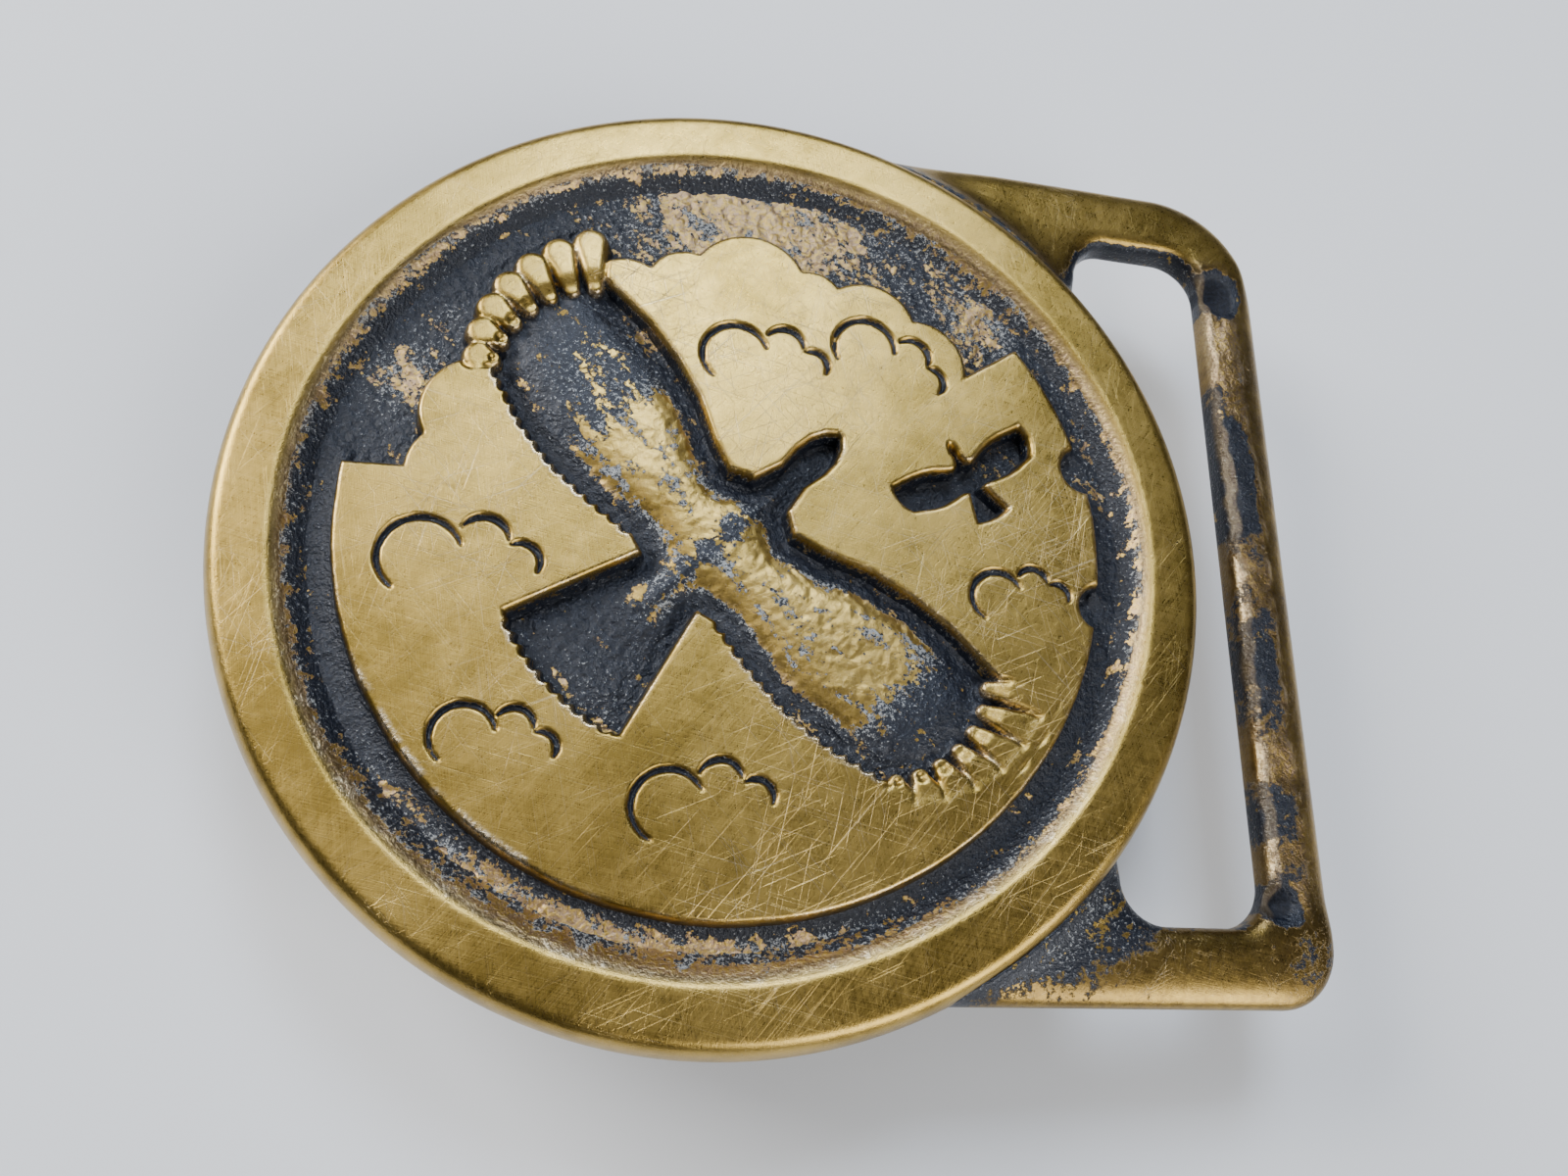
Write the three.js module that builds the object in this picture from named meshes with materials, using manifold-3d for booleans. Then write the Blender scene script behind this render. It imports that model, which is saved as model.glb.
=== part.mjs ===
// A round cast-brass belt buckle with a side loop for the strap and a hook on its back.
//
// Three pieces: the casting (disc, picture in relief and strap loop in one pour), the bent
// hook rod let into a boss on the back, and the braze fillet that holds the rod.
//
// Millimetres. The origin is the middle of the flat field on the back, +Z comes out of the
// picture side and +X points to the strap loop.

import * as THREE from 'three';
import { mergeVertices } from 'three/addons/utils/BufferGeometryUtils.js';
import Module from 'manifold-3d';

const wasm = await Module();
wasm.setup();

// ---- driving dimensions -------------------------------------------------------------------

// Disc
const rimRadius = 31.75;        // widest, at the parting line
const edgeRound = 1.15;         // how far the rounded edge of the rim leans in
const rimFlat = 2.8;            // flat top of the rim, measured outwards
const bevelRun = 0.8;           // worn bevel inside the rim
const bevelDrop = 0.6;
const channelWidth = 3.6;       // rim's inner edge to the medallion
const channelFillet = 1.1;      // sloping foot of the channel's outer wall
const reliefDepth = 1.6;        // face of the rim down to the sunk ground
const webThickness = 2.3;       // metal under the sunk ground
const dishDepth = 0.6;          // how far the lip stands below the field on the back
const lipWidth = 3.0;
const partingHeight = 1.4;      // parting line above the field on the back
const lipRound = 0.7;           // how far the lip's edge leans in below the parting line

// Strap loop
const slotGap = 3.55;           // edge of the disc to the bar
const slotLength = 49.2;
const barWidth = 4.4;
const armWidth = 4.9;
const loopThickness = 2.9;
const loopStep = 1.2;           // face of the rim down to the arms
const loopFall = 1.0;           // how much lower the bar lies than the arms' roots
const loopDrift = 0.85;         // the loop sits this far off the middle of the disc
const webHeight = 5.2;          // web that fills the corner between an arm and the disc
const shoulderInset = 12.7;     // edge of the disc back to where the arms leave it
const slotCorner = 3.0;
const upperCorner = 8.0;        // outer corners of the loop
const lowerCorner = 4.0;
const loopEdge = 0.8;           // rounding of the loop's long edges

// Hook
const rodRadius = 2.1;
const hookInset = 12.25;        // edge of the disc to the middle of the rod
const hookThroat = 5.0;         // field to the inner side of the hook's arm
const hookBend = 4.4;           // radius of the bend, at the middle of the rod
const hookTurn = THREE.MathUtils.degToRad(82);
const hookReach = 4.6;          // straight end beyond the bend
const bossRadius = 4.3;
const bossHeight = 0.6;
const bossDraft = 0.3;          // how much wider the boss is at its foot
const socketDepth = 1.5;        // blind hole in the boss for the rod's foot
const brazeLeg = 1.1;           // leg of the braze fillet
const brazeWaist = 0.4;         // thickness left where the fillet is hollowed
const clearance = 0.3;          // between pieces that touch

// Picture. It is drawn for a medallion of this radius and scaled to the real one.
const drawnMedallion = 24.2;
const soaringBird = { x: 0, y: 0, turn: THREE.MathUtils.degToRad(45), size: 1 };
const distantBird = { x: 15.5, y: 5, turn: THREE.MathUtils.degToRad(120), size: 0.24 };
const birdRise = 1.0;           // how far the bird's back swells above the sunk ground
const backBreadth = 4.0;        // half sizes of that swelling along the body and along the wings
const backSpan = 16.0;

const discSides = 96;
const rodSides = 20;
const overlap = 0.4;            // how deep joined bodies run into each other

// ---- sizes that follow --------------------------------------------------------------------

const groundHeight = webThickness;
const faceHeight = webThickness + reliefDepth;
const flatRadius = rimRadius - edgeRound;
const innerEdge = flatRadius - rimFlat;
const medallionRadius = innerEdge - channelWidth;
const drawing = medallionRadius / drawnMedallion;

const barInner = rimRadius + slotGap;
const barOuter = barInner + barWidth;
const slotHalf = slotLength / 2;
const loopHalf = slotHalf + armWidth;
const shoulderX = rimRadius - shoulderInset;
const hookX = hookInset - rimRadius;

// ---- solids and joins ---------------------------------------------------------------------

function toSolid(geometry) {
  const bare = geometry.index ? geometry.toNonIndexed() : geometry.clone();
  bare.deleteAttribute('normal');
  bare.deleteAttribute('uv');
  const merged = mergeVertices(bare, 1e-4);
  return new wasm.Manifold(new wasm.Mesh({
    numProp: 3,
    vertProperties: Float32Array.from(merged.attributes.position.array),
    triVerts: Uint32Array.from(merged.index.array),
  }));
}

function toGeometry(solid) {
  const mesh = solid.getMesh();
  const geometry = new THREE.BufferGeometry();
  geometry.setAttribute('position', new THREE.BufferAttribute(Float32Array.from(mesh.vertProperties), 3));
  geometry.setIndex(new THREE.BufferAttribute(Uint32Array.from(mesh.triVerts), 1));
  return geometry;
}

// A profile of [radius, height] pairs turned about the Z axis.
function turned(profile, sides) {
  const points = profile.map(([radius, height]) => new THREE.Vector2(radius, height));
  return new THREE.LatheGeometry(points, sides).rotateX(Math.PI / 2);
}

function slab(shape, low, high, curveSegments = 8) {
  const flat = new THREE.ExtrudeGeometry(shape, { depth: high - low, bevelEnabled: false, curveSegments });
  return toSolid(flat.translate(0, 0, low));
}

// Points on a quarter of an ellipse from one end of a profile's corner to the other.
function quarterArc(centre, run, rise, fromDegrees, toDegrees, steps) {
  const points = [];
  for (let step = 0; step <= steps; step += 1) {
    const angle = THREE.MathUtils.degToRad(THREE.MathUtils.lerp(fromDegrees, toDegrees, step / steps));
    points.push([centre[0] + run * Math.cos(angle), centre[1] + rise * Math.sin(angle)]);
  }
  return points;
}

// ---- disc ---------------------------------------------------------------------------------

function discBody() {
  const lipInner = flatRadius - lipWidth;
  const lipEdge = rimRadius - lipRound;
  const profile = [
    [0, 0],
    [lipInner - dishDepth, 0],
    [lipInner, -dishDepth],
    ...quarterArc([lipEdge, partingHeight], rimRadius - lipEdge, partingHeight + dishDepth, -90, 0, 4),
    ...quarterArc([flatRadius, partingHeight], edgeRound, faceHeight - partingHeight, 0, 90, 6).slice(1),
    [innerEdge, faceHeight],
    [innerEdge - bevelRun, faceHeight - bevelDrop],
    [innerEdge - bevelRun - channelFillet, groundHeight],
    [0, groundHeight],
  ];
  return toSolid(turned(profile, discSides));
}

function hookBoss() {
  const tall = bossHeight + overlap;
  const foot = new THREE.CylinderGeometry(bossRadius + bossDraft, bossRadius, tall, rodSides * 2);
  foot.rotateX(Math.PI / 2).translate(hookX, 0, (overlap - bossHeight) / 2);
  return toSolid(foot);
}

function hookSocket() {
  const deep = socketDepth + overlap;
  const drill = new THREE.CylinderGeometry(rodRadius + clearance, rodRadius + clearance, deep, rodSides * 2);
  drill.rotateX(Math.PI / 2).translate(hookX, 0, -bossHeight + socketDepth - deep / 2);
  return toSolid(drill);
}

// ---- picture ------------------------------------------------------------------------------

// One side of the soaring bird, head first: [along the body, along the wing].
const birdHead = [[9.8, 0.2], [9.2, 0.8], [8.2, 1.2], [7, 1.3], [5.4, 1.1], [3.4, 1.6], [2.6, 3]];
const birdFrontEdge = [[3.2, 5], [4.6, 8], [5.4, 11], [5.8, 14]];
const birdBackEdge = [[-4.4, 17.4], [-5.4, 14], [-5.8, 10.5], [-5.6, 7], [-5.2, 4], [-5.6, 2.6]];
const tailReach = 15.2;         // middle of the bird to the end of the tail
const tailHalf = THREE.MathUtils.degToRad(20);
const tailSteps = 3;

// Each wing ends in a fan of spread feathers about a point on the wing.
const fanCentre = [0.5, 12.5];
const fanFeathers = 7;
const fanFirst = THREE.MathUtils.degToRad(54);
const fanStep = THREE.MathUtils.degToRad(12);
const fanRoot = 7.4;
const fanSpread = 10.6;
const fanShrink = 0.4;          // each feather is this much shorter than the one before
const featherRoot = 0.5;        // half widths of a feather
const featherTip = 1.1;

function featherLength(index) {
  return fanSpread - fanShrink * index;
}

function fanPoint(index, radius) {
  const angle = fanFirst + fanStep * index;
  return [fanCentre[0] + radius * Math.cos(angle), fanCentre[1] + radius * Math.sin(angle)];
}

function tailPoint(step) {
  const angle = tailHalf * (1 - step / tailSteps);
  return [-tailReach * Math.cos(angle), tailReach * Math.sin(angle)];
}

function birdOutline() {
  const tips = [];
  for (let index = 0.5; index < fanFeathers - 1; index += 1) {
    tips.push(fanPoint(index, featherLength(index)));
  }
  const tail = [];
  for (let step = 0; step < tailSteps; step += 1) tail.push(tailPoint(step));
  return [...birdHead, ...birdFrontEdge, ...tips, ...birdBackEdge, ...tail];
}

function placed(bird, side, [along, across]) {
  const spot = new THREE.Vector2(along, across * side).multiplyScalar(bird.size);
  return spot.rotateAround(new THREE.Vector2(), bird.turn).add(bird).multiplyScalar(drawing);
}

function birdShape(bird) {
  const half = birdOutline();
  const left = half.map((point) => placed(bird, 1, point));
  const right = half.map((point) => placed(bird, -1, point)).reverse();
  return new THREE.Shape([...left, ...right]);
}

// A raised feather: a bar with round ends that widens from root to tip.
function featherShape(bird, side, index) {
  const root = placed(bird, side, fanPoint(index, fanRoot));
  const tip = placed(bird, side, fanPoint(index, featherLength(index)));
  const heading = tip.clone().sub(root).angle();
  const quarter = Math.PI / 2;
  const shape = new THREE.Shape();
  shape.absarc(root.x, root.y, featherRoot * drawing, heading + quarter, heading + 3 * quarter, false);
  shape.absarc(tip.x, tip.y, featherTip * drawing, heading - quarter, heading + quarter, false);
  return shape;
}

// A bank of cloud follows an arc about the medallion's middle, from the left to the upper
// right. Its round heads stand at even steps, and their sizes rise and fall along it.
const bankRadius = 17.4;
const bankFirst = 172;          // degrees round from +X
const bankStep = -14;
const bankHeads = 10;
const headRadius = 3.2;
const headSwing = 0.9;
const headBeat = 2.4;           // radians of the rise and fall from one head to the next
const skyReach = 34;            // outer corners of the open sky, clear of the medallion
const skyCorners = [[38, 18.4], [36, skyReach], [82, skyReach], [129, skyReach], [176, skyReach]];
const edgeValleys = [[14, 24.6, 1.8], [-9, 24.6, 1.6]];

// A circle placed by the angle in degrees and the distance of its centre.
function circleAt(degrees, distance, radius) {
  const centre = polar(degrees, distance);
  const shape = new THREE.Shape();
  shape.absarc(centre.x, centre.y, radius * drawing, 0, 2 * Math.PI, false);
  return shape;
}

function polar(degrees, distance) {
  const angle = THREE.MathUtils.degToRad(degrees);
  return new THREE.Vector2(Math.cos(angle), Math.sin(angle)).multiplyScalar(distance * drawing);
}

function medallion() {
  const low = groundHeight - overlap;
  const high = faceHeight + overlap;
  const skyPoints = [];
  const heads = [];
  for (let index = 0; index < bankHeads; index += 1) {
    const degrees = bankFirst + bankStep * index;
    skyPoints.push(polar(degrees, bankRadius));
    heads.push(circleAt(degrees, bankRadius, headRadius + headSwing * Math.sin(headBeat * index)));
  }
  for (const [degrees, distance] of skyCorners) skyPoints.push(polar(degrees, distance));
  let land = slab(circleAt(0, 0, drawnMedallion), low, faceHeight, discSides / 4);
  land = land.subtract(slab(new THREE.Shape(skyPoints), low - overlap, high));
  for (const head of heads) land = land.add(slab(head, low, faceHeight, 10));
  for (const side of [1, -1]) {
    for (let index = 0; index < fanFeathers; index += 1) {
      land = land.add(slab(featherShape(soaringBird, side, index), low, faceHeight, 3));
    }
  }
  for (const valley of edgeValleys) land = land.subtract(slab(circleAt(...valley), low - overlap, high));
  return land;
}

function birdHollows() {
  const high = faceHeight + overlap;
  let hollow = slab(birdShape(soaringBird), groundHeight, high);
  for (const side of [1, -1]) {
    for (let index = 0; index < fanFeathers; index += 1) {
      hollow = hollow.subtract(slab(featherShape(soaringBird, side, index), groundHeight, high, 3));
    }
  }
  return hollow.add(slab(birdShape(distantBird), groundHeight, high));
}

// The bird's back and wings swell out of the sunk ground as one long rounded form.
function birdBack() {
  const back = new THREE.SphereGeometry(1, 40, 16);
  back.rotateX(Math.PI / 2).scale(backBreadth * drawing, backSpan * drawing, birdRise);
  back.rotateZ(soaringBird.turn).translate(soaringBird.x * drawing, soaringBird.y * drawing, groundHeight);
  return toSolid(back);
}

// ---- strap loop ---------------------------------------------------------------------------

function loopShape() {
  const rootHalf = Math.min(loopHalf, rimRadius - overlap);
  const shape = new THREE.Shape();
  shape.moveTo(0, -rootHalf);
  shape.lineTo(shoulderX, -loopHalf);
  shape.absarc(barOuter - lowerCorner, lowerCorner - loopHalf, lowerCorner, -Math.PI / 2, 0, false);
  shape.absarc(barOuter - upperCorner, loopHalf - upperCorner, upperCorner, 0, Math.PI / 2, false);
  shape.lineTo(shoulderX, loopHalf);
  shape.lineTo(0, rootHalf);
  shape.holes.push(slotPath());
  return shape;
}

function slotPath() {
  const left = Math.sqrt(rimRadius ** 2 - (slotHalf - webHeight) ** 2);
  const right = barInner;
  const reach = slotHalf - slotCorner;
  const path = new THREE.Path();
  path.absarc(left + slotCorner, -reach, slotCorner, -Math.PI / 2, Math.PI, true);
  path.absarc(left + slotCorner, reach, slotCorner, Math.PI, Math.PI / 2, true);
  path.absarc(right - slotCorner, reach, slotCorner, Math.PI / 2, 0, true);
  path.absarc(right - slotCorner, -reach, slotCorner, 0, -Math.PI / 2, true);
  path.closePath();
  return path;
}

function strapLoop() {
  const bodyRadius = flatRadius - edgeRound;
  const loop = new THREE.ExtrudeGeometry(loopShape(), {
    depth: loopThickness - 2 * loopEdge,
    bevelThickness: loopEdge,
    bevelSize: loopEdge,
    bevelOffset: -loopEdge,
    bevelSegments: 3,
    curveSegments: 6,
  });
  const top = faceHeight - loopStep;
  loop.translate(0, loopDrift, top - loopThickness + loopEdge);
  const slope = loopFall / (barInner - shoulderX);
  const spots = loop.attributes.position;
  for (let index = 0; index < spots.count; index += 1) {
    spots.setZ(index, spots.getZ(index) - slope * (spots.getX(index) - shoulderX));
  }
  const clear = new THREE.CylinderGeometry(bodyRadius, bodyRadius, 4 * faceHeight, discSides);
  return toSolid(loop).subtract(toSolid(clear.rotateX(Math.PI / 2)));
}

// ---- hook ---------------------------------------------------------------------------------

const hookStraight = hookThroat + rodRadius - hookBend;   // depth below the field where the bend starts

// Carries a point of a straight upright rod round the hook: height above the rod's foot
// becomes distance along the hook's middle line.
function bent(point) {
  const footDepth = bossHeight - socketDepth + clearance;
  const along = point.z + footDepth;
  const sideways = point.x;
  const bendLength = hookBend * hookTurn;
  if (along <= hookStraight) {
    return new THREE.Vector3(hookX + sideways, -point.y, -along);
  }
  const angle = Math.min((along - hookStraight) / hookBend, hookTurn);
  const beyond = Math.max(along - hookStraight - bendLength, 0);
  const swing = hookBend - sideways;
  return new THREE.Vector3(
    hookX + hookBend - swing * Math.cos(angle) + beyond * Math.sin(angle),
    -point.y,
    -hookStraight - swing * Math.sin(angle) - beyond * Math.cos(angle),
  );
}

function hookRod() {
  const footDepth = bossHeight - socketDepth + clearance;
  const bendStart = hookStraight - footDepth;
  const bendEnd = bendStart + hookBend * hookTurn;
  const total = bendEnd + hookReach;
  const bendSteps = 12;
  const profile = [[0, 0], [rodRadius, 0], [rodRadius, bendStart]];
  for (let step = 1; step <= bendSteps; step += 1) {
    profile.push([rodRadius, THREE.MathUtils.lerp(bendStart, bendEnd, step / bendSteps)]);
  }
  profile.push(...quarterArc([0, total - rodRadius], rodRadius, rodRadius, 0, 90, 5));
  profile[profile.length - 1][0] = 0;
  const rod = turned(profile, rodSides);
  const spots = rod.attributes.position;
  const spot = new THREE.Vector3();
  for (let index = 0; index < spots.count; index += 1) {
    spot.copy(bent(spot.fromBufferAttribute(spots, index)));
    spots.setXYZ(index, spot.x, spot.y, spot.z);
  }
  return toGeometry(toSolid(rod));
}

function brazeRing() {
  const inner = rodRadius + clearance;
  const high = -bossHeight - clearance;
  const profile = [[inner, high], [inner, high - brazeLeg], [inner + brazeWaist, high - brazeWaist],
    [inner + brazeLeg, high], [inner, high]];
  return toGeometry(toSolid(turned(profile, rodSides * 2).translate(hookX, 0, 0)));
}

// ---- assembly -----------------------------------------------------------------------------

function casting() {
  const body = discBody().add(medallion()).subtract(birdHollows()).add(birdBack());
  return toGeometry(body.add(strapLoop()).add(hookBoss()).subtract(hookSocket()));
}

function piece(name, geometry, color, roughness) {
  const material = new THREE.MeshStandardMaterial({ color, roughness, metalness: 1, flatShading: true });
  const mesh = new THREE.Mesh(geometry, material);
  mesh.name = name;
  return mesh;
}

const buckle = new THREE.Group();
buckle.add(piece('buckle_casting', casting(), 0xa8935a, 0.35));
buckle.add(piece('belt_hook', hookRod(), 0xb59c5e, 0.3));
buckle.add(piece('hook_braze', brazeRing(), 0xc9a85a, 0.45));

export default buckle;
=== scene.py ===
"""A round cast-brass belt buckle: disc with a picture in relief, strap loop, hook on the back."""

import bmesh
import bpy
import numpy as np
from mathutils import Euler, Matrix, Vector


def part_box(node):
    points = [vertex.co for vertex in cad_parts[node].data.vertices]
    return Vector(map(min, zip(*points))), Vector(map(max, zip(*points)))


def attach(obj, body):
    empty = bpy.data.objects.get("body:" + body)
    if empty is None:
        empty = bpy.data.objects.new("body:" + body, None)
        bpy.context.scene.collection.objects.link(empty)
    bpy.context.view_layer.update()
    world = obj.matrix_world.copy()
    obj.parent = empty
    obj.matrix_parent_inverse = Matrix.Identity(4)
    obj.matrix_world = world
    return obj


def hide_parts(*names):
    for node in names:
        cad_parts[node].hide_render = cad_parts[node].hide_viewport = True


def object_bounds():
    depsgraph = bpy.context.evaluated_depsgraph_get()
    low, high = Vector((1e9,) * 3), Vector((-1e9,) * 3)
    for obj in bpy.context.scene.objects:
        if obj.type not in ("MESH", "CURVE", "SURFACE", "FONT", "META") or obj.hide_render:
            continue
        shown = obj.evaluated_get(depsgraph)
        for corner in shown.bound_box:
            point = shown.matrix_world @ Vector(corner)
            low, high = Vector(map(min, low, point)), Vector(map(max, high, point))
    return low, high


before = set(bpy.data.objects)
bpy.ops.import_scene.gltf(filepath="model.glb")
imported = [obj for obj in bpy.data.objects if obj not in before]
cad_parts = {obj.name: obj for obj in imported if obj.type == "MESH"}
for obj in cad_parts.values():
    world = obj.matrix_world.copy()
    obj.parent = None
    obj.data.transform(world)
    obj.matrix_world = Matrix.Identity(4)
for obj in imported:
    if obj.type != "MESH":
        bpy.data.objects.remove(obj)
cad_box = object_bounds()


# ---- Rim ----------------------------------------------------------------------------------
# The raised rim of the disc, cast in one with everything else in front of the hook. Its top
# was linished flat and has worn satin; a bevel leads from it down into the channel, and on
# the back it ends in the lip that frames the field.

# Sizes are in millimetres from the middle of the field on the back, and each mesh is scaled to
# metres as it is made. Angles in the tables are in degrees.
MM = 0.001
casting_low, casting_high = (np.array(corner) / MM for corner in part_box("buckle_casting"))
rim_radius = -casting_low[0]
face_height = casting_high[2]
relief_depth = 1.6
ground_height = face_height - relief_depth
edge_round = 1.15
rim_flat = 2.8
bevel_run, bevel_drop = 0.8, 0.6
channel_fillet = 1.1
parting_height = 1.4
dish_depth = 0.6
lip_width = 3.0
flat_radius = rim_radius - edge_round
inner_edge = flat_radius - rim_flat
wall_top = inner_edge - bevel_run
wall_foot = wall_top - channel_fillet


lattice_size = 128
lattice_shift = 500.0


def lattice_noise(x, y, grain, seed):
    """Random heights from -1 to 1 on a square lattice of the given grain, joined smoothly."""
    lattice = np.random.default_rng(seed).uniform(-1, 1, (lattice_size, lattice_size))
    across, up = np.asarray(x) / grain + lattice_shift, np.asarray(y) / grain + lattice_shift
    column, row = np.floor(across).astype(int), np.floor(up).astype(int)
    s, t = across - column, up - row
    s, t = s * s * (3 - 2 * s), t * t * (3 - 2 * t)
    left, right = column % lattice_size, (column + 1) % lattice_size
    below, above = row % lattice_size, (row + 1) % lattice_size
    bottom = lattice[below, left] * (1 - s) + lattice[below, right] * s
    top = lattice[above, left] * (1 - s) + lattice[above, right] * s
    return bottom * (1 - t) + top * t


def cast_grain(x, y, grain, seed, octaves=3):
    """Lattice noise with finer and weaker copies of itself laid over it."""
    layers = [lattice_noise(x, y, grain / 2 ** k, seed + k) / 2 ** k for k in range(octaves)]
    return sum(layers) / sum(1 / 2 ** k for k in range(octaves))


def ease(low, high, value):
    """0 at low and short of it, 1 at high and past it, and the smooth S curve 3t^2 - 2t^3
    between them. It falls instead of rising where low is the larger."""
    t = np.clip((value - low) / (high - low), 0, 1)
    return t * t * (3 - 2 * t)


def spot(x, y, x0, y0, radius):
    """A round soft patch: 1 at its middle and e^-1 at its radius."""
    return np.exp(-((x - x0) ** 2 + (y - y0) ** 2) / radius ** 2)


def patches(x, y, places):
    """The sum of soft spots, each row giving a spot's x, y, radius and strength."""
    return sum(strength * spot(x, y, x0, y0, radius) for x0, y0, radius, strength in places)


def finished_mesh(name, bm):
    """Welds the seams and poles, turns the faces outwards and makes the object."""
    bmesh.ops.remove_doubles(bm, verts=bm.verts, dist=1e-7)
    bmesh.ops.dissolve_degenerate(bm, dist=1e-8, edges=bm.edges)
    bmesh.ops.recalc_face_normals(bm, faces=bm.faces)
    mesh = bpy.data.meshes.new(name)
    bm.to_mesh(mesh)
    bm.free()
    mesh.polygons.foreach_set("use_smooth", np.ones(len(mesh.polygons), dtype=bool))
    piece = bpy.data.objects.new(name, mesh)
    bpy.context.collection.objects.link(piece)
    return piece


def bmesh_from(points, faces, marks):
    """A bmesh of points in millimetres, with one float layer for each named mark."""
    mesh = bpy.data.meshes.new("draft")
    mesh.from_pydata((points * MM).tolist(), [], faces.tolist())
    for label, values in marks.items():
        layer = mesh.attributes.new(label, "FLOAT", "POINT")
        layer.data.foreach_set("value", values.astype(np.float32))
    bm = bmesh.new()
    bm.from_mesh(mesh)
    bpy.data.meshes.remove(mesh)
    return bm


def grid_piece(name, points, wrap, marks):
    """A grid of points[row, column] as quads; wrap joins the last row or column to the first.
    A mark is one number or a number for each point."""
    rows, columns = points.shape[:2]
    row = np.arange(rows if wrap[0] else rows - 1)[:, None]
    column = np.arange(columns if wrap[1] else columns - 1)[None, :]
    next_row, next_column = (row + 1) % rows, (column + 1) % columns
    corners = (row * columns + column, next_row * columns + column,
               next_row * columns + next_column, row * columns + next_column)
    faces = np.stack([np.broadcast_to(corner, (row.size, column.size)).ravel() for corner in corners], 1)
    marks = {label: np.broadcast_to(values, (rows, columns)).ravel() for label, values in marks.items()}
    return finished_mesh(name, bmesh_from(points.reshape(-1, 3), faces, marks))


def worn_loop(corners, count, rounding):
    """A closed outline resampled at even steps, its corners worn round by a Gaussian blur."""
    corners = np.array(corners, float)
    sides = np.roll(corners, -1, 0) - corners
    reach = np.concatenate([[0], np.cumsum(np.hypot(*sides.T))])
    ring = np.vstack([corners, corners[:1]])
    along = np.arange(count) * reach[-1] / count
    even = np.stack([np.interp(along, reach, ring[:, axis]) for axis in (0, 1)], 1)
    waves = np.fft.fftfreq(count, reach[-1] / count)
    blur = np.exp(-2 * (np.pi * rounding * waves) ** 2)
    return np.fft.ifft(np.fft.fft(even, axis=0) * blur[:, None], axis=0).real


def quarter(centre, run, rise, start, end, steps):
    """Points on an ellipse about centre from one angle to another, in degrees."""
    angle = np.radians(np.linspace(start, end, steps))
    return list(zip(centre[0] + run * np.cos(angle), centre[1] + rise * np.sin(angle)))


class Value:
    """A number or colour that varies over the surface. Sums on it add their Math nodes."""

    def __init__(self, finish, socket):
        self.finish, self.socket = finish, socket

    def maths(self, operation, first, second):
        """One Math node on two values or numbers."""
        return self.finish.node("ShaderNodeMath", {"operation": operation}, {0: first, 1: second})

    def __add__(self, other):
        return self.maths("ADD", self, other)

    def __sub__(self, other):
        return self.maths("SUBTRACT", self, other)

    def __rsub__(self, other):
        return self.maths("SUBTRACT", other, self)

    def __mul__(self, other):
        return self.maths("MULTIPLY", self, other)

    def over(self, low, high):
        """0 below low, 1 above high, smooth between."""
        return self.finish.node("ShaderNodeMapRange", {"interpolation_type": "SMOOTHSTEP"},
                                {"Value": self, "From Min": low, "From Max": high}, "Result")

    def cap(self):
        """Held between 0 and 1."""
        return self.finish.node("ShaderNodeClamp", {}, {"Value": self})

    __radd__, __rmul__ = __add__, __mul__


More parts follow.
